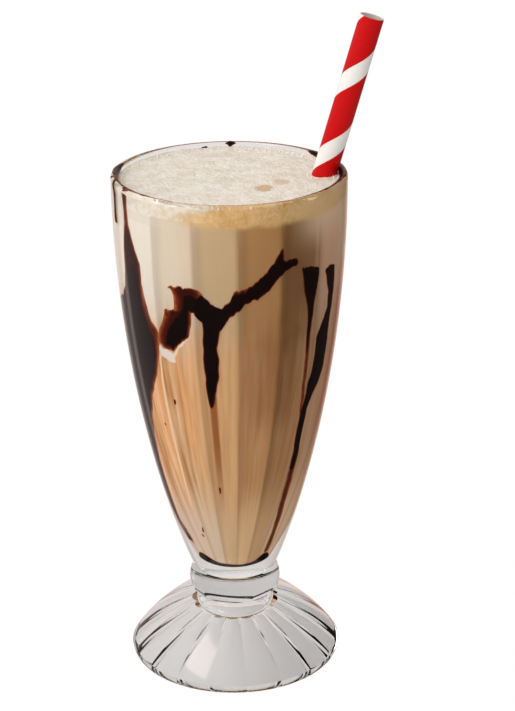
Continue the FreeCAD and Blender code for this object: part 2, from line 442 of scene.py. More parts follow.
def bubbles(material):
    """Froth bubbles strewn on rings beside the wall and round the straw."""
    points, faces = froth_rings()
    rings = bpy.data.meshes.new("froth_rings")
    rings.from_pydata(points, [], faces)
    holder = add_object("froth_rings", rings)
    modifier = holder.modifiers.new("bubbles", "NODES")
    modifier.node_group = bubble_tree(material)
    for item in modifier.node_group.interface.items_tree:
        if item.in_out == "INPUT" and item.name in BUBBLES:
            modifier[item.identifier] = BUBBLES[item.name]
    seen = holder.evaluated_get(bpy.context.evaluated_depsgraph_get())
    mesh = bpy.data.meshes.new_from_object(seen)
    bpy.data.objects.remove(holder)
    mesh.name = "froth_bubbles"
    return add_object("froth_bubbles", mesh)


# ---- sauce ------------------------------------------------------------------------------
# Runs that hang down the wall. Each has how thick it is, which is how dark it looks, the width
# of its thin edges, and rows of (height, left edge, right edge) with the edges as azimuths.
RUNS = {
    "left top": (0.7, 1.6, [
        (188.5, -64.6, -59.4), (184, -62.8, -59.6), (178, -62.4, -59), (174, -63.8, -57),
        (170, -65.2, -54.6), (164.7, -65.6, -51.2), (159.6, -66.4, -51), (154.5, -68, -51.2),
        (149.5, -74, -50.8), (146, -84, -49),
    ]),
    "left": (1.0, 2.0, [
        (164, -60, -54.6), (159.6, -63, -52), (154.5, -66, -51.2), (149.5, -74, -50.8),
        (144.4, -89, -48), (139.4, -100, -44.4), (136, -102, -43), (130, -104, -43.6),
        (124, -104, -47), (114, -104, -55.5), (99, -103, -64.5), (85, -102, -73), (72, -101, -79),
        (59, -99, -85), (50, -96, -76),
    ]),
    "left fringe": (0.42, 3.0, [
        (157, -56, -50.6), (150, -54, -48.8), (146, -53, -46.2), (143.6, -52, -43.4),
        (141.6, -52, -40.4), (138, -50, -40.6), (134, -48, -42), (129, -47, -44),
    ]),
    "left lobe": (0.62, 3.6, [
        (160.4, -27.4, -21), (159.7, -31.4, -15), (158.4, -30.8, -13.6), (156.5, -29.7, -13),
        (153.6, -29.7, -12), (152.6, -29.9, -17), (151, -30.3, -19.8), (150.2, -35.2, -19.9),
        (147.6, -36.9, -20.1), (144.5, -38.8, -20.8), (141, -40.9, -22), (139.4, -41.2, -24.4),
        (137.6, -41.3, -28), (136, -38, -30.2), (134.4, -33.4, -31.8),
    ]),
    "lobe core": (0.97, 1.8, [
        (157, -26, -13), (153, -26.2, -12), (151, -27, -19.8), (146, -33.6, -20.3),
        (141, -37.6, -21.9), (138, -38.4, -27), (135, -34.2, -31),
    ]),
    "middle": (1.0, 0.7, [
        (157.5, -16, -12.5), (155, -19, -9), (152.6, -19.3, -2), (150, -18, -0.5), (147, -14.6, -2),
        (144.5, -14.4, -5), (138, -14.6, -7), (133, -14.8, -6.2), (126, -14.4, -6.6),
        (120, -14.2, -8.2), (117, -13.8, -9.4), (114, -12.8, -11.2),
    ]),
    "right": (1.0, 0.7, [
        (165.2, 38.8, 41.5), (163.4, 39.2, 50.8), (157, 40.9, 49.8), (150, 43.5, 48.3),
        (143, 44.4, 47.6), (136, 44.7, 47), (131, 45.3, 46.6),
    ]),
    "right trail": (0.4, 1.4, [
        (138, 44.8, 47.4), (128, 45, 47.6), (118, 46, 48.4), (108, 47.5, 49.6), (98, 49, 50.6),
    ]),
    "far right": (1.0, 0.8, [
        (161.5, 56.5, 66), (158, 58.2, 66.6), (152, 61, 66.8), (146, 61, 66), (141, 57, 65.2),
        (136, 52.9, 65), (129, 52.9, 65.2), (123, 52.3, 65.4), (118, 49.8, 62.8), (114, 50, 58.6),
        (108, 48.2, 55), (101, 48, 55.4), (95, 48.8, 56), (88, 50.4, 58), (82, 51, 58.6),
    ]),
    "far right trail": (0.36, 1.8, [
        (90, 50.6, 58), (75, 51.8, 60.6), (68, 53, 62), (60, 56.4, 65), (54, 58.6, 67.4),
        (46, 60, 71),
    ]),
    "back left": (1.0, 1.2, [
        (178, -150, -146), (168, -152, -140), (158, -158, -128), (149, -154, -120),
        (140, -150, -132), (128, -147, -138), (112, -146, -141), (96, -145, -142),
    ]),
    "back right": (1.0, 1.2, [
        (172, 128, 131), (163, 124, 136), (152, 126, 134), (138, 127, 133), (120, 128, 132),
        (104, 129, 131),
    ]),
}

# Streaks that cross the wall. Each has how thick it is, the width of its thin edges, and points
# of (azimuth, height, half its width).
STREAKS = {
    "swirl": (1.0, 0.7, [
        (-9, 150.4, 2.0), (-4, 150, 2.8), (1, 153.2, 2.5), (5.5, 156.6, 2.6), (10, 157.4, 2.2),
        (14.5, 159.6, 2.7), (19, 162.6, 2.8), (23, 165.8, 2.8), (28, 167.6, 2.5), (34, 168.1, 1.7),
    ]),
    "hump": (0.75, 1.4, [(4, 158, 1.6), (7, 159.4, 1.4)]),
    "high horn": (0.9, 0.8, [(25, 168, 1.8), (26, 171, 1.3), (27, 174, 0.4)]),
    "lobe horn": (0.5, 1.0, [(-30, 159.0, 0.8), (-32.6, 159.4, 0.3)]),
    "left horn": (0.45, 1.0, [(-34.6, 148.8, 1.0), (-34.8, 150.8, 0.5)]),
    "back swirl": (1.0, 1.2, [
        (-146, 158, 1.6), (-158, 163, 2.2), (-172, 160, 1.8), (172, 157, 1.4), (158, 160, 2.2),
        (144, 165, 2.6), (132, 164, 2.0), (112, 158, 1.2), (98, 160, 1.4), (92, 162, 0.8),
    ]),
    "speck": (0.7, 0.5, [(-36.2, 114.6, 0.45), (-36.2, 112.8, 0.35)]),
    "speck low": (0.6, 0.5, [(-49.6, 103, 0.4), (-49.4, 102.2, 0.3)]),
    "speck on the trail": (0.6, 0.5, [(-11.6, 78.5, 0.4), (-11.4, 76.8, 0.3)]),
    "speck near floor": (0.6, 0.5, [(-42, 58.8, 0.4), (-43, 57.6, 0.3)]),
    "speck at floor": (0.6, 0.5, [(-46, 55.4, 0.35), (-45, 54.8, 0.3)]),
}

# Milk that lies white against the wall below the left lobe, and painted highlights beside it.
MILK_AND_HIGHLIGHT_STREAKS = {
    # the patch is milk, and its thin tail to the right is a painted highlight along the lobe's
    # lower edge
    "patch": (1.0, 0.6, [
        (-41, 135.2, 1.0), (-38, 133.4, 2.2), (-34.6, 131.8, 1.8), (-32, 133.0, 0.5),
        (-26, 138.2, 0.5), (-21.5, 141.2, 0.3),
    ]),
    # a painted highlight that runs down the wall
    "line": (0.5, 0.6, [
        (-41, 134, 0.4), (-42.5, 126, 0.5), (-43.4, 112, 0.6), (-44, 95, 0.5), (-45.5, 80, 0.4),
        (-47, 68, 0.2),
    ]),
}


def inside_run(rows, azimuth, height):
    """How far a place is inside a run's edges, along the wall."""
    levels, lefts, rights = zip(*sorted(rows))
    left = np.interp(height, levels, lefts)
    right = np.interp(height, levels, rights)
    middle, half = (left + right) / 2, (right - left) / 2
    off = (azimuth - middle + 180) % 360 - 180
    mm_per_degree = np.radians(inside_radius(height))
    to_side = (half - np.abs(off)) * mm_per_degree
    beyond = np.maximum(levels[0] - height, height - levels[-1])
    return np.where(beyond > 0, np.minimum(to_side, -beyond), to_side)


def inside_streak(points, azimuth, height, radius):
    """How far a place is inside a streak's edges."""
    deepest = np.full(np.shape(azimuth), -1e9)
    for (az_a, up_a, half_a), (az_b, up_b, half_b) in zip(points, points[1:]):
        span = (az_b - az_a + 180) % 360 - 180
        off = (azimuth - az_a + 180) % 360 - 180
        run_x, run_y = np.radians(span) * radius, up_b - up_a
        x, y = np.radians(off) * radius, height - up_a
        share = np.clip((x * run_x + y * run_y) / (run_x ** 2 + run_y ** 2), 0, 1)
        distance = np.hypot(x - share * run_x, y - share * run_y)
        deepest = np.maximum(deepest, half_a + (half_b - half_a) * share - distance)
    return deepest


def coat(field, darkness, azimuths, rows):
    """Polygons where the field is above 0, their edges cut on its zero line. Returns the
    azimuth, row, field and darkness of each point, and the polygons."""
    columns = len(azimuths)
    names = {}
    found = []

    def point(row, column, step_row=0, step_column=0):
        """A point of the grid, or the one on the zero line between it and the next."""
        here = (row, column % columns)
        key = (*here, step_row, step_column)
        if key not in names:
            names[key] = len(found)
            there = (row + step_row, (column + step_column) % columns)
            share = 0.0 if here == there else field[here] / (field[here] - field[there])
            found.append((
                azimuths[0] + (column + step_column * share) * (azimuths[1] - azimuths[0]),
                rows[row] + (rows[row + step_row] - rows[row]) * share,
                field[here] + (field[there] - field[here]) * share,
                darkness[here] + (darkness[there] - darkness[here]) * share,
            ))
        return names[key]

    inside = field > 0
    beside = np.roll(inside, -1, axis=1)
    any_corner = inside[:-1] | inside[1:] | beside[:-1] | beside[1:]
    polygons = []
    for row, column in np.argwhere(any_corner).tolist():
        corners = [(row, column), (row, column + 1), (row + 1, column + 1), (row + 1, column)]
        edges = [(*corners[0], 0, 1), (*corners[1], 1, 0), (*corners[3], 0, 1), (*corners[0], 1, 0)]
        held = [inside[at_row, at_column % columns] for at_row, at_column in corners]
        polygon = []
        for corner in range(4):
            if held[corner]:
                polygon.append(point(*corners[corner]))
            if held[corner] != held[(corner + 1) % 4]:
                polygon.append(point(*edges[corner]))
        if len(polygon) > 2:
            polygons.append(polygon)
    return np.array(found), polygons


def layer_piece(name, outer, inner, polygons, darkness):
    """A closed layer between an outer and an inner skin that share their polygons."""
    count = len(outer)
    once = {}
    for polygon in polygons:
        for start, end in zip(polygon, polygon[1:] + polygon[:1]):
            if (end, start) in once:
                del once[(end, start)]
            else:
                once[(start, end)] = True
    faces = list(polygons)
    faces += [[count + corner for corner in reversed(polygon)] for polygon in polygons]
    faces += [(end, start, count + start, count + end) for start, end in once]
    piece = new_piece(name, np.concatenate([outer, inner]), faces)
    attribute = piece.data.attributes.new("darkness", "FLOAT", "POINT")
    attribute.data.foreach_set("value", np.concatenate([darkness, darkness]))
    return piece


def wall_grid():
    heights = np.arange(FLOOR_HEIGHT + 0.4, FOAM_TOP + 0.3, 0.5)
    return np.meshgrid(-180 + np.arange(600) * 0.6, heights)


# The sauce clings in fine vertical teeth, so its level edges are ragged and its sides calm:
# (how far the teeth reach, cells round the glass, their height, seed).
TEETH = [(0.8, 150, 5.0, 11), (0.35, 300, 2.5, 12), (0.5, 36, 20.0, 13)]
OUTSIDE = -5.0            # how far inside an edge a place counts as that is in no run


def run_together(azimuth, height, runs, streaks):
    """How far each place is inside the nearest run or streak, and how dark it is there."""
    ragged = height
    for reach, *cells in TEETH:
        ragged = ragged + reach * wander(azimuth, height, *cells)
    mm_per_degree = np.radians(inside_radius(height))
    swayed = azimuth + 0.16 * wander(azimuth, height, 100, 3.5, 14) / mm_per_degree
    field = np.full(azimuth.shape, OUTSIDE)
    darkness = np.zeros(azimuth.shape)
    layers = [(*look, inside_run(rows, swayed, ragged)) for *look, rows in runs.values()]
    layers += [
        (*look, inside_streak(points, swayed, ragged, inside_radius(height)))
        for *look, points in streaks.values()
    ]
    for thickness, thin_edge, inside in layers:
        field = np.maximum(field, inside)
        darkness = np.maximum(darkness, thickness * smooth(inside / thin_edge))
    return field, darkness


def wall_layer(name, field, darkness, into_wall, thickness):
    azimuth, height = wall_grid()
    field = np.clip(field, OUTSIDE, -OUTSIDE)
    found, polygons = coat(field, darkness, azimuth[0], height[:, 0])
    azimuth, height, _, darkness = found.T
    radius = wall_radius(azimuth, height) + into_wall
    outer = at(radius, azimuth, height)
    inner = at(radius - thickness, azimuth, height)
    return layer_piece(name, outer, inner, polygons, darkness)


def sauce_on_wall():
    azimuth, height = wall_grid()
    field, darkness = run_together(azimuth, height, RUNS, STREAKS)
    # a pool round the floor, drawn up where runs meet it
    drawn_left = 3.4 * np.exp(-((azimuth + 72) / 26) ** 2)
    drawn_right = 3.2 * np.exp(-((azimuth - 68) / 22) ** 2)
    pool_top = 42.2 + drawn_left + drawn_right
    inside = pool_top + 0.5 * wander(azimuth, height, 24, 5.0, 15) - height
    field = np.maximum(field, inside)
    darkness = np.maximum(darkness, smooth(inside))
    return wall_layer("sauce_on_wall", field, darkness, SAUCE_INTO_WALL, SAUCE_THICKNESS)


def milk_and_highlight_on_wall():
    field, darkness = run_together(*wall_grid(), {}, MILK_AND_HIGHLIGHT_STREAKS)
    return wall_layer("milk_and_highlight_on_wall", field, darkness, MILK_INTO_WALL, MILK_THICKNESS)


# ---- sauce on the lip -------------------------------------------------------------------
# Where the lip was dipped in sauce: (azimuth, from, to) with the edges as distances along the
# lip's outline, 0 on its crest and growing outwards. It ends where the numbers meet.
LIP_BANDS = [
    [(-110, -0.7, -0.7), (-104, -1.6, 0.5), (-98, -2.2, 1.3), (-91, -2.6, 0.9), (-84, -2.8, -0.2),
     (-74, -2.9, -0.3), (-66, -2.9, 0.2), (-58, -2.4, 0.1), (-50, -1.9, -0.05), (-38, -1.2, -0.2),
     (-28, -0.5, -0.3)],
    [(34, -0.5, -0.3), (48, -1.3, -0.15), (60, -2.2, 0.0), (70, -2.8, 0.2), (80, -3.4, 0.9),
     (90, -3.6, 1.2), (98, -2.9, 0.4), (106, -2.6, -0.2), (118, -1.6, -0.6), (128, -0.8, -0.8)],
    [(122, -1.3, -1.3), (126, -2.6, -0.2), (131, -2.0, -0.1), (135, -0.8, -0.8)],
    [(-183.5, -1.2, -1.2), (-180, -2.6, 0.1), (-177, -1.4, -1.4)],
]

# Drips from the lip, outside and inside: points of (azimuth, distance, half its width).
LIP_DRIPS = [
    [(-78, -0.4, 0.8), (-74, 2.0, 0.9), (-71.8, 4.5, 1.2), (-71.6, 8.0, 1.0), (-71.6, 11.0, 1.05),
     (-71, 14.0, 1.2)],
    [(-84, 0.6, 0.7), (-85, 1.0, 0.6)],
    [(-62, -0.6, 1.6), (-61.5, -3.2, 1.5)],
    [(-167, -2.6, 0.8), (-165, -2.7, 0.7)],
]


def lip_outline(distance):
    """Radius and height on the lip's outline and the direction in which its surface faces."""
    crest = RIM_RADIUS - LIP_ROUND
    turn = np.clip(distance / LIP_ROUND, -math.pi / 2, math.pi / 2)
    down = np.abs(distance) - np.abs(turn) * LIP_ROUND
    height = LIP_CENTRE + LIP_ROUND * np.cos(turn) - down
    radius = crest + LIP_ROUND * np.sin(turn)
    outwards = bowl_radius(height) - RIM_RADIUS
    inwards = inside_radius(height) - inside_radius(LIP_CENTRE)
    radius = radius + np.where(down > 0, np.where(distance > 0, outwards, inwards), 0.0)
    return radius, height, np.sin(turn), np.cos(turn)


def sauce_on_lip():
    azimuths = -180 + np.arange(900) * 0.4
    distances = np.arange(-4.4, 17.0, 0.22)
    azimuth, distance = np.meshgrid(azimuths, distances)
    swayed = distance + 0.35 * wander(azimuth, distance, 70, 6.0, 21)
    swayed = swayed + 0.15 * wander(azimuth, distance, 190, 2.0, 22)
    inside = np.full(azimuth.shape, OUTSIDE)
    for band in LIP_BANDS:
        turns, lows, highs = zip(*band)
        off = (azimuth - turns[0]) % 360 + turns[0]
        low, high = np.interp(off, turns, lows), np.interp(off, turns, highs)
        within = np.minimum(swayed - low, high - swayed)
        inside = np.maximum(inside, np.where(off <= turns[-1], within, OUTSIDE))
    for drip in LIP_DRIPS:
        inside = np.maximum(inside, inside_streak(drip, azimuth, swayed, RIM_RADIUS))
    # a thin line of sauce all round, near the crest in front and behind, further in at the sides
    line = -0.9 + 0.62 * np.abs(np.cos(np.radians(azimuth)))
    thin = 0.27 + 0.05 * wander(azimuth, distance, 60, 50.0, 23) - np.abs(distance - line)
    field = np.maximum(inside, thin)
    found, polygons = coat(field, inside, azimuths, distances)
    azimuth, distance, _, depth = found.T
    radius, height, out, up = lip_outline(distance)
    domed = LIP_SAUCE_THICKNESS * np.sqrt(smooth((depth + 0.15) / 1.3))
    domed = domed * (0.75 + 0.25 * smooth((distance - 8) / 6))
    outer = at(radius + domed * out, azimuth, height + domed * up)
    inner = at(radius - LIP_SAUCE_INTO_GLASS * out, azimuth, height - LIP_SAUCE_INTO_GLASS * up)
    thickness = smooth((depth + 0.2) / 1.1)
    # the rows run outwards, so the skin that faces out is the second one
    return layer_piece("sauce_on_lip", inner, outer, polygons, thickness)


# ---- straw ------------------------------------------------------------------------------
def straw_axis():
    low = FLOOR_HEIGHT + STRAW_ABOVE_FLOOR
    slope = 0.0
    for _ in range(8):
        half_width = STRAW_RADIUS * math.hypot(1, slope)
        low_reach = inside_radius(low) - STRAW_WALL_GAP - half_width
        lip_reach = RIM_RADIUS - RIM_WALL - STRAW_LIP_GAP - half_width
        low_end = Vector(at(low_reach, STRAW_LOW_AZIMUTH, low))
        run = Vector(at(lip_reach, STRAW_LIP_AZIMUTH, LIP_CENTRE)) - low_end
        slope = math.hypot(run.x, run.y) / run.z
    return low_end, low_end + run * ((GLASS_HEIGHT + STRAW_ABOVE_LIP - low) / run.z)


def straw_at(height):
    low, mouth = straw_axis()
    place = low + (mouth - low) * ((height - low.z) / (mouth.z - low.z))
    return place.x, place.y


STRAW_COLUMNS = 72        # points round the straw
MOUTH_ROUNDING = 0.12     # of its cut end


def straw_piece():
    """A paper tube with a UV map that holds its turn and the length along it."""
    low, mouth = straw_axis()
    along = (mouth - low).normalized()
    length = (mouth - low).length
    side = along.cross(Vector((0, 1, 0))).normalized()
    back = along.cross(side)
    columns = STRAW_COLUMNS
    turns = np.arange(columns) * 2 * math.pi / columns
    bore = STRAW_RADIUS - STRAW_WALL
    fars = np.linspace(0.3, length - MOUTH_ROUNDING, 90)
    profile = [
        (bore, 0.0), (STRAW_RADIUS, 0.0),
        *[(STRAW_RADIUS, far) for far in fars],
        (STRAW_RADIUS - 0.04, length - 0.03), (STRAW_RADIUS - MOUTH_ROUNDING, length),
        (bore + MOUTH_ROUNDING, length), (bore + 0.04, length - 0.03),
        *[(bore, far) for far in reversed(fars)],
    ]
    points = []
    for radius, far in profile:
        for turn in turns:
            spoke = side * math.cos(turn) + back * math.sin(turn)
            points.append(low + along * far + spoke * radius)
    faces = []
    wraps = []
    count = len(profile)
    for ring in range(count):
        after_ring = (ring + 1) % count
        low_far, high_far = profile[ring][1] / length, profile[after_ring][1] / length
        # whole turns are added inside the tube and on its cut end, where the paper is plain
        plain = 2 if profile[ring][0] < STRAW_RADIUS - 0.05 else 0
        faces += quads(ring * columns, after_ring * columns, columns)
        for column in range(columns):
            start, end = column / columns + plain, (column + 1) / columns + plain
            wraps += [(start, low_far), (end, low_far), (end, high_far), (start, high_far)]
    piece = new_piece("straw_paper", [tuple(point) for point in points], faces)
    layer = piece.data.uv_layers.new(name="wrap")
    layer.data.foreach_set("uv", np.array(wraps).ravel())
    return piece, length


# ---- materials --------------------------------------------------------------------------
def operator(operation):
    """A Math node as an operator of Value, and its reflected form."""
    def straight(self, other):
        return self.finish.math(operation, self, other)

    def reflected(self, other):
        return self.finish.math(operation, other, self)

    return straight, reflected


class Value:
    """A number of a material that changes over its surface. Sums with it add Math nodes."""

    def __init__(self, finish, socket):
        self.finish = finish
        self.socket = socket

    def math(self, operation, *others):
        return self.finish.math(operation, self, *others)

    __add__, __radd__ = operator("ADD")
    __sub__, __rsub__ = operator("SUBTRACT")
    __mul__, __rmul__ = operator("MULTIPLY")
    __truediv__, __rtruediv__ = operator("DIVIDE")
    __pow__, __rpow__ = operator("POWER")


def rgba(colour):
    """A colour as screens show it, 0 to 255, in the light values that a shader needs. A socket
    stays as it is."""
    if isinstance(colour, bpy.types.NodeSocket):
        return colour
    shares = [value / 255 for value in colour]
    lights = [value / 12.92 if value <= 0.04045 else ((value + 0.055) / 1.055) ** 2.4
              for value in shares]
    return (*lights, 1.0)


class Finish:
    """A procedural material, or the studio's surroundings, built node by node."""

    def __init__(self, name, world=None):
        self.material = world or bpy.data.materials.new(name)
        self.material.use_nodes = True
        self.tree = self.material.node_tree
        self.tree.nodes.clear()
        # surroundings have no object, and what they generate is the direction looked in
        self.place = self.node("TexCoord").outputs["Generated" if world else "Object"]

    def node(self, kind, sockets=None, **settings):
        return add_node(self.tree, "ShaderNode" + kind, sockets, **settings)

    def number(self, socket):
        return Value(self, socket)

    def math(self, operation, *numbers):
        made = self.node("Math", dict(enumerate(numbers)), operation=operation)
        return self.number(made.outputs[0])

    def attribute(self, name):
        return self.number(self.node("Attribute", attribute_name=name).outputs["Fac"])

    def axes(self, place=None):
        made = self.node("SeparateXYZ", {0: place or self.place})
        return [self.number(socket) for socket in made.outputs]

    def azimuth(self):
        x, y, _ = self.axes()
        return x.math("ARCTAN2", 0.0 - y) * (180 / math.pi)

    def from_axis(self):
        """How far a place is from the glass's axis."""
        x, y, _ = self.axes()
        return (x * x + y * y) ** 0.5

    def noise(self, scale, detail=2.0, roughness=0.5, place=None):
        made = self.node("TexNoise", {
            "Vector": place or self.place, "Scale": scale, "Detail": detail,
            "Roughness": roughness})
        return self.number(made.outputs["Fac"])

    def cells(self, scale):
        made = self.node("TexVoronoi", {"Vector": self.place, "Scale": scale}, feature="F1")
        return self.number(made.outputs["Distance"])

    def ease(self, value, low, high, start=0.0, end=1.0):
        """start below low, end above high, and a smooth change between."""
        made = self.node("MapRange", {
            "Value": value, "From Min": low, "From Max": high, "To Min": start,
            "To Max": end}, interpolation_type="SMOOTHSTEP")
        return self.number(made.outputs["Result"])

    def near(self, value, middle, half_width, soft):
        """1 where a value is near a middle, and 0 beyond half a width."""
        return self.ease((value - middle).math("ABSOLUTE"), half_width + soft, half_width)

    def between(self, value, start, full, fade, end):
        """1 from full to fade, and 0 below start and above end."""
        return self.ease(value, start, full) * self.ease(value, end, fade)

    def mix(self, share, colour, other, blend="MIX"):
        made = self.node("Mix", {0: share, 6: rgba(colour), 7: rgba(other)},
                         data_type="RGBA", blend_type=blend, clamp_factor=True)
        return made.outputs[2]

    def layers(self, colour, *layers):
        """A colour with others laid over it, each with its share."""
        for share, other, *blend in layers:
            colour = self.mix(share, colour, other, *blend)
        return colour

    def ramp(self, value, stops):
        made = self.node("ValToRGB", {"Fac": value})
        elements = made.color_ramp.elements
        while len(elements) < len(stops):
            elements.new(0.5)
        for element, (position, colour) in zip(elements, stops):
            element.position = position
            element.color = rgba(colour)
        return made.outputs["Color"]

    def bump(self, height, strength, distance):
        made = self.node("Bump", {"Height": height, "Strength": strength, "Distance": distance})
        return made.outputs["Normal"]

    def blend(self, share, shader, other):
        """A shader with a share of another over it."""
        return self.node("MixShader", {0: share, 1: shader, 2: other}).outputs[0]

    def surface(self, colour, roughness, specular, normal=None):
        sockets = {"Base Color": colour, "Roughness": roughness, "Specular IOR Level": specular}
        if normal is not None:
            sockets["Normal"] = normal
        return self.show(self.node("BsdfPrincipled", sockets).outputs[0])

    def show(self, shader, output="OutputMaterial"):
        self.node(output, {"Surface": shader})
        return self.material


def clear_glass():
    finish = Finish("clear_glass")
    shader = finish.node("BsdfPrincipled", {
        "Base Color": (0.98, 0.975, 0.97, 1), "Roughness": 0.0, "IOR": 1.51,
        "Transmission Weight": 1.0})
    through = finish.node("BsdfTransparent")
    ray = finish.node("LightPath")
    # shadow rays pass, so that light reaches the drink
    return finish.show(finish.blend(
        ray.outputs["Is Shadow Ray"], shader.outputs[0], through.outputs[0]))


def round_the_glass(finish):
    """The azimuth in degrees and the height in millimetres."""
    return finish.azimuth(), finish.axes()[2] / MM


def side_of(azimuth):
    """0 on the left of the glass, 1 on its right."""
    return (azimuth * (math.pi / 180)).math("SINE") * 0.5 + 0.5


def golden_share(finish, azimuth, height):
    """Where the crema shows gold: a band under the lip that runs out to the left."""
    wobble = (finish.noise(170.0, 4.0, 0.6) - 0.5) * 3.0
    centred = finish.near(azimuth, 20.0, 30.0, 58.0)
    top = finish.ease(azimuth, -30.0, 8.0, 186.6, 191.0)
    bottom = 187.4 - centred * 4.9
    share = finish.ease(top - height + wobble, -1.6, 1.6)
    share = share * finish.ease(height - bottom + wobble, -1.4, 1.6)
    return share * finish.ease(azimuth + wobble * 10.0, -40.0, 0.0)


# The drink's colours across it, from 0 at its left to 1 at its right: near the top, below the
# sauce and near the floor. Their browning to the right is partly the milk's and partly painted
# shade, with the light coming from the left.
ACROSS = (0.10, 0.26, 0.45, 0.64, 0.81, 0.95)
UPPER_DRINK_AND_SHADE = [(231, 224, 210), (218, 202, 181), (201, 174, 136),
               (187, 143, 94), (150, 111, 70), (242, 200, 166)]
LOWER_DRINK_AND_SHADE = [(232, 174, 120), (216, 172, 126), (216, 171, 122),
               (201, 153, 105), (192, 144, 98), (226, 180, 142)]
LOWEST_DRINK_AND_SHADE = [(218, 192, 170), (214, 190, 162), (214, 178, 136),
                (234, 194, 146), (228, 184, 138), (255, 216, 178)]
GOLD = (230, 190, 130)
DEEP_GOLD = (212, 166, 100)
CREAM = (217, 207, 189)


def coffee_colour_and_painted_light(finish):
    """Milky coffee, cream up on the left and browner to the right, partly from the milk and
    partly painted shade of light from the left. Each flute holds one tone, as painted facet
    shade, with painted shade beside its corners, caramel streaks below and painted
    reflections at the right edge."""
    azimuth, height = round_the_glass(finish)
    pitch = 360 / FLUTES
    flute = (azimuth - FLUTE_AZIMUTH) / pitch
    phase = flute.math("FRACT")
    # painted shade: most of a flute shares one tone, as a facet lit from the left would show, and
    # the change to the next is made beside the corner
    turned = 0.5 + (finish.ease(phase, 0.86, 1.0) - finish.ease(phase, 0.14, 0.0)) * 0.5
    flute_shade_azimuth = (flute - phase + turned) * pitch + FLUTE_AZIMUTH
    side = side_of(flute_shade_azimuth) * 0.8 + side_of(azimuth) * 0.2
    swirl = (finish.noise(60.0) - 0.5) * 30.0
    upper, lower, lowest = [
        finish.ramp(side, list(zip(ACROSS, tones)))
        for tones in (UPPER_DRINK_AND_SHADE, LOWER_DRINK_AND_SHADE, LOWEST_DRINK_AND_SHADE)
    ]
    colour = finish.layers(
        upper,
        (finish.ease(height + swirl, 156.0, 126.0), lower),
        (finish.ease(height + swirl * 0.5, 86.0, 56.0), lowest),
    )

    # streaks that follow the wall down: pale, orange and dark
    x, y, _ = finish.axes()
    reach = finish.from_axis()
    down_wall = finish.node("CombineXYZ", {
        0: x / reach * 10.0, 1: y / reach * 10.0, 2: height / 60.0}).outputs[0]
    fine = finish.noise(1.6, 3.0, 0.6, down_wall)
    broad = finish.noise(0.8, 2.0, 0.5, down_wall)
    below = finish.ease(height + swirl, 156.0, 134.0) * finish.ease(height, 52.0, 84.0)
    left = finish.ease(azimuth, -18.0, -34.0) * below
    pale = finish.ease(fine, 0.46, 0.70) * (left * 0.5 + below * 0.14)
    orange = finish.ease(broad, 0.50, 0.64) * (left * 0.55 + 0.06)
    dark = finish.ease(fine, 0.52, 0.32) * (left * 0.3 + below * 0.14 + 0.04)

    dusk = finish.near(azimuth, 26.0, 8.0, 12.0) * finish.between(height, 96.0, 114.0, 136.0, 156.0)
    # painted shade: darker just past each flute's corner, with a thin dark line on the corner
    corner_shade = finish.ease(phase, 0.30, 0.0) * 0.22 + finish.near(phase, 1.0, 0.0, 0.09) * 0.25
    # paler to the right under the crema; a pale painted reflection at the right edge, and a warm
    # painted reflection in a strip below
    under_crema = finish.ease(height, 168.0, 184.0) * finish.ease(azimuth, 28.0, 52.0)
    right_edge_reflection = finish.near(azimuth, 88.0, 14.0, 8.0) * finish.ease(height, 140.0, 158.0)
    warm_reflection = finish.near(azimuth, 82.0, 3.0, 16.0) * finish.between(height, 84.0, 112.0, 157.0, 164.0)
    # a caramel stain below the middle run
    stain = finish.near(azimuth + fine * 2.0, -9.8, 1.3, 1.9)
    stain = stain * finish.between(height, 56.0, 104.0, 116.0, 124.0)
    colour = finish.layers(
        colour,
        (pale, (246, 222, 190)),
        (orange, (226, 150, 84)),
        (dark, (150, 96, 52)),
        (dusk * 0.6, (206, 190, 176), "MULTIPLY"),
        (corner_shade, (112, 74, 40), "MULTIPLY"),
        (under_crema * 0.85, (254, 226, 192)),
        (right_edge_reflection * 0.8, (255, 226, 196)),
        (warm_reflection * 0.42, (240, 142, 118)),
        (stain * 0.85, (146, 78, 36)),
    )
    return colour, azimuth, height


def coffee_finish():
    finish = Finish("milky_coffee")
    colour, azimuth, height = coffee_colour_and_painted_light(finish)
    colour = finish.mix(golden_share(finish, azimuth, height), colour, gold_froth(finish))
    return finish.surface(colour, 0.5, 0.0)


def gold_froth(finish):
    """Gold and deep gold, paler to the right, with fine pale froth."""
    return finish.layers(
        GOLD,
        (finish.ease(finish.noise(150.0, 4.0, 0.6), 0.36, 0.64), DEEP_GOLD),
        (finish.ease(finish.azimuth(), 22.0, 52.0) * 0.8, (255, 215, 158)),
        (finish.ease(finish.noise(700.0, 3.0, 0.6), 0.44, 0.66) * 0.35, (240, 216, 170)),
    )


def crema_finish():
    finish = Finish("crema")
    colour, azimuth, height = coffee_colour_and_painted_light(finish)
    colour = finish.layers(
        colour,
        (finish.ease(azimuth, -10.0, -44.0) * 0.4, CREAM),
        (golden_share(finish, azimuth, height), gold_froth(finish)),
    )
    return finish.surface(colour, 0.5, 0.0, finish.bump(finish.cells(900.0), 0.3, 0.0002))


# Spots on the foam: (azimuth, distance from the axis, half its width, half its depth, how much
# of it shows, colour).
FOAM_SPOTS = [
    (42.0, 18.3, 3.3, 4.4, 0.85, (204, 168, 122)),
    (72.0, 19.6, 2.9, 3.6, 0.5, (206, 172, 136)),
    (-93.0, 22.0, 0.5, 0.5, 0.8, (150, 128, 96)),
]


def spot_share(finish, azimuth, reach, across, along):
    """1 inside an oval spot on the foam, with a ragged edge."""
    x, y, _ = finish.axes()
    turn = math.radians(azimuth)
    off_x = (x / MM - reach * math.sin(turn)) / across
    off_y = (y / MM + reach * math.cos(turn)) / along
    edge = (finish.noise(700.0, 3.0, 0.6) - 0.5) * 0.7
    return finish.ease((off_x * off_x + off_y * off_y) ** 0.5 + edge, 1.25, 0.65)


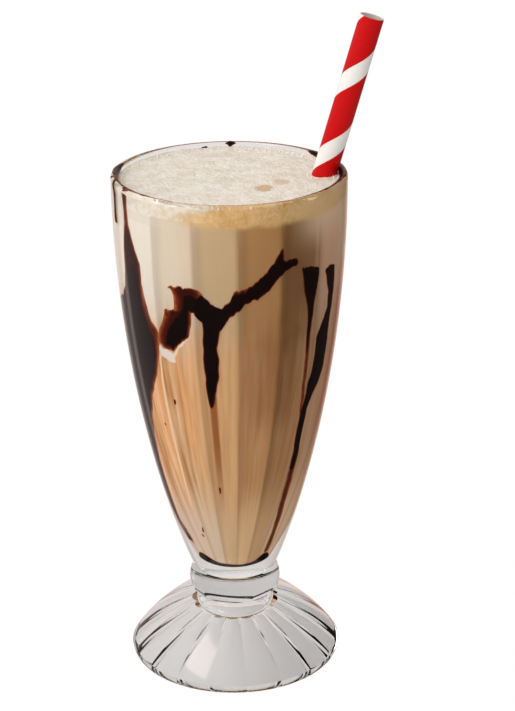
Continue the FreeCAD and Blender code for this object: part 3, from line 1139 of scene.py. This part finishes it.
def foam_finish():
    finish = Finish("foam")
    azimuth, height = round_the_glass(finish)
    broad = finish.ease(finish.noise(210.0, 5.0, 0.62), 0.36, 0.66)
    fine = finish.ease(finish.cells(1500.0), 0.3, 0.75)
    top = finish.layers(
        (246, 240, 229),
        (broad, (234, 222, 204)),
        (fine * 0.34, (206, 190, 168)),
        *[(spot_share(finish, *spot) * shows, colour) for *spot, shows, colour in FOAM_SPOTS],
    )
    beside = finish.layers(
        CREAM,
        (finish.ease(finish.noise(420.0, 3.0), 0.4, 0.6), (230, 222, 207)),
        (golden_share(finish, azimuth, height), gold_froth(finish)),
    )
    wall = inside_radius(FOAM_TOP)
    reach = finish.from_axis() / MM
    under = finish.ease(height, FOAM_TOP + 0.5, FOAM_TOP - 0.2)
    at_wall = finish.ease(reach, wall - 0.5, wall - 0.1) * under
    # gold shows a little way over the edge in front
    over_edge = finish.ease(reach, wall - 2.4, wall - 1.0)
    over_edge = over_edge * golden_share(finish, azimuth, height) * finish.ease(azimuth, 74.0, 56.0)
    colour = finish.layers(top, (at_wall, beside), (over_edge, gold_froth(finish)))
    relief = finish.cells(800.0) + finish.noise(900.0, 4.0, 0.7) * 0.8
    return finish.surface(colour, 0.62, 0.3, finish.bump(relief, 0.4, 0.0004))


def bubble_finish():
    finish = Finish("froth_bubbles")
    colour = finish.mix(finish.noise(300.0), (242, 235, 223), (230, 218, 200))
    return finish.surface(colour, 0.4, 0.25)


def milk_and_highlight_finish():
    finish = Finish("milk_and_highlight_under_glass")
    thick = finish.ease(finish.attribute("darkness"), 0.2, 0.9)
    return finish.surface(finish.mix(thick, (238, 206, 168), (226, 220, 212)), 0.5, 0.0)


def sauce_finish(name, roughness, specular):
    finish = Finish(name)
    mottled = finish.attribute("darkness") + (finish.noise(420.0, 3.0, 0.6) - 0.5) * 0.3
    colour = finish.ramp(mottled, [
        (0.0, (158, 92, 54)), (0.14, (120, 50, 25)), (0.38, (82, 25, 13)),
        (0.66, (46, 14, 10)), (0.88, (18, 8, 8)),
    ])
    return finish.surface(colour, roughness, specular)


# The straw's stripes: from one to the next along the straw, the white one's share of that, and
# where the first one starts.
STRIPE_PITCH = 28.16
STRIPE_SHARE = 0.30
STRIPE_START = 0.044


def straw_finish(length):
    finish = Finish("striped_paper")
    wrap = finish.node("UVMap", uv_map="wrap").outputs[0]
    turn, far, _ = finish.axes(wrap)
    spiral = far * (length / STRIPE_PITCH) - turn + STRIPE_START
    edge = (finish.noise(2500.0, 2.0) - 0.5) * 0.006
    share = (spiral + edge).math("FRACT")
    white = finish.between(share, 0.0, 0.008, STRIPE_SHARE, STRIPE_SHARE + 0.008)
    fibre = finish.noise(1800.0, 4.0, 0.6)
    red = finish.mix(fibre, (206, 8, 10), (180, 4, 8))
    pale = finish.mix(fibre, (236, 232, 227), (220, 215, 208))
    plain = finish.ease(turn, 1.4, 1.6)
    colour = finish.layers(red, (white, pale), (plain, (226, 214, 204)))
    seam = finish.ease(share.math("PINGPONG", 0.5), 0.0, 0.012)
    return finish.surface(colour, 0.42, 0.12, finish.bump(fibre * 0.4 + seam, 0.35, 0.00012))


# ---- build ------------------------------------------------------------------------------
def mount(piece, material, slot, *nodes):
    if not piece.data.materials:
        piece.data.materials.append(material)
    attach(piece, "root")
    if nodes:
        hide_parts(*nodes)


mount(turned_piece("glass_body", glass_rings()), clear_glass(), "glass", "glass")
coffee = turned_piece("coffee_fill", drink_rings(FLOOR_HEIGHT, COFFEE_TOP, 90))
mount(coffee, coffee_finish(), "coffee", "coffee")
crema = turned_piece("crema_band", drink_rings(COFFEE_TOP, CREMA_TOP, 8))
mount(crema, crema_finish(), "crema", "crema")
foam = turned_piece("foam_cap", foam_rings(360), columns=360)
mount(foam, foam_finish(), "foam", "foam")
mount(bubbles(bubble_finish()), None, "foam")
mount(sauce_on_wall(), sauce_finish("chocolate_under_glass", 0.5, 0.0), "coffee")
mount(milk_and_highlight_on_wall(), milk_and_highlight_finish(), "coffee")
mount(sauce_on_lip(), sauce_finish("chocolate_on_lip", 0.25, 0.15), "coffee")
straw, straw_length = straw_piece()
mount(straw, straw_finish(straw_length), "straw", "straw")


# ---- studio -----------------------------------------------------------------------------
def rays(finish):
    """Which rays ask: the camera's own, and those that reach here from the camera off glass or
    through it. Light that falls on the drink or the foam is neither."""
    path = finish.node("LightPath").outputs
    straight = finish.ease(finish.number(path["Diffuse Depth"]), 0.5, 0.4)
    camera = finish.number(path["Is Camera Ray"])
    # a ray that clear glass bends counts as glossy too
    bent = finish.number(path["Is Transmission Ray"])
    mirrored = finish.number(path["Is Glossy Ray"]) * (1.0 - bent) * straight
    return camera, mirrored, bent * straight


FLOOR_GAP = 0.2           # air under the foot, so that its underside mirrors as glass does
FLOOR_REACH = 3000
FLOOR_WHITE = 1.03        # the white floor that the camera sees,
WHITE_SHARE = 0.92        # and its share over plain light and shadow there
SHADED_SHARE = 0.75       # the share of the shaded floor that clear glass shows


def stage_floor():
    ends = (-FLOOR_REACH, FLOOR_REACH)
    corners = [(x, y, -FLOOR_GAP) for x in ends for y in ends]
    floor = new_piece("floor", corners, [(0, 2, 3, 1)])
    finish = Finish("studio_floor")
    camera, mirrored, through = rays(finish)
    lit = finish.node("BsdfDiffuse", {"Color": (0.8, 0.8, 0.8, 1)}).outputs[0]
    white = finish.node("Emission", {
        "Color": (1, 1, 1, 1), "Strength": FLOOR_WHITE}).outputs[0]
    # shaded close to the foot, and more on the side away from the key light
    shade = finish.ease(finish.axes()[0], -0.022, 0.024, 0.70, 0.44)
    shade = shade + (0.86 - shade) * finish.ease(finish.from_axis(), 0.034, 0.12)
    seen = finish.node("Emission", {"Color": (1, 0.965, 0.955, 1), "Strength": shade}).outputs[0]
    open_air = finish.node("BsdfTransparent").outputs[0]
    shader = finish.blend(camera * WHITE_SHARE, lit, white)
    shader = finish.blend(through * SHADED_SHARE, shader, seen)
    floor.data.materials.append(finish.show(finish.blend(mirrored, shader, open_air)))


AMBIENT = 0.88            # plain light from all round
SIDE_LIGHT = 0.45         # and how much more of it comes from the left than from above
SEEN_THROUGH = 0.72       # what clear glass shows behind it
# How bright a room the shiny surfaces show: beside its windows, overhead, in the small window
# in front on the left, and on the wall behind the glass.
DARK_ROOM = 0.07
OVERHEAD = 0.4
FRONT_WINDOW = 4.5
WALL_BEHIND = 0.72
# Its windows on the left, towards the back: (azimuth, half its width, soft edge, brightness).
WINDOWS = [(-126.0, 26.0, 14.0, 0.30), (-134.0, 1.0, 6.0, 0.55)]


def studio_world():
    """White to the camera, even light on the object, and to shiny surfaces a dark room with its
    windows on the left and a pale wall behind the glass."""
    world = bpy.data.worlds.new("studio")
    bpy.context.scene.world = world
    finish = Finish("studio", world)
    camera, mirrored, through = rays(finish)
    x, _, z = finish.axes()
    azimuth = finish.azimuth()
    window = finish.ease(z, 0.5, 0.8) * OVERHEAD + DARK_ROOM
    for middle, half_width, soft, brightness in WINDOWS:
        window = window + finish.near(azimuth, middle, half_width, soft) * brightness
    in_front = finish.near(azimuth, -54.0, 15.0, 5.0) * finish.near(z, 0.75, 0.10, 0.05)
    behind = finish.ease(azimuth.math("ABSOLUTE"), 148.0, 166.0)
    window = window + in_front * FRONT_WINDOW + behind * WALL_BEHIND
    ambient = AMBIENT - x * SIDE_LIGHT
    strength = ambient + camera * (1.0 - ambient) + through * (SEEN_THROUGH - ambient)
    strength = strength + mirrored * (window - ambient)
    warm_reflection = finish.mix(finish.ease(x, -0.1, 0.1), (248, 226, 220), (250, 206, 192))
    colour = finish.layers((255, 255, 255), (mirrored, warm_reflection), (through, (255, 251, 247)))
    background = finish.node("Background", {"Color": colour, "Strength": strength})
    finish.show(background.outputs[0], "OutputWorld")


KEY_LIGHT = (-0.60, -0.60, 0.38)
KEY_LIGHT_SIZE = 0.4
KEY_LIGHT_POWER = 2.7
LIGHT_AIM = (0, 0, 0.12)
CAMERA = (0.00950, -0.74583, 0.40673)
CAMERA_AHEAD = (0, 0.9336, -0.3584)
CAMERA_ROLL = math.radians(-0.55)
LENS = 109.43
SENSOR = 36


def key_light():
    lamp = bpy.data.lights.new("key_light", "AREA")
    lamp.energy = KEY_LIGHT_POWER
    lamp.size = KEY_LIGHT_SIZE
    light = add_object("key_light", lamp)
    light.location = KEY_LIGHT
    aim = Vector(LIGHT_AIM) - Vector(KEY_LIGHT)
    light.rotation_euler = aim.to_track_quat("-Z", "Y").to_euler()
    light.visible_glossy = False


def set_camera():
    camera = add_object("camera", bpy.data.cameras.new("camera"))
    camera.data.sensor_fit = "VERTICAL"
    camera.data.sensor_height = SENSOR
    camera.data.lens = LENS
    camera.data.clip_start = 0.01
    ahead = Vector(CAMERA_AHEAD).normalized()
    level = Vector((1, 0, 0))
    upright = level.cross(ahead)
    across = math.cos(CAMERA_ROLL) * level + math.sin(CAMERA_ROLL) * upright
    up = math.cos(CAMERA_ROLL) * upright - math.sin(CAMERA_ROLL) * level
    turn = Matrix((across, up, -ahead)).transposed().to_4x4()
    camera.matrix_world = Matrix.Translation(CAMERA) @ turn
    bpy.context.scene.camera = camera


stage_floor()
studio_world()
key_light()
set_camera()
bpy.context.scene.view_settings.view_transform = "Standard"
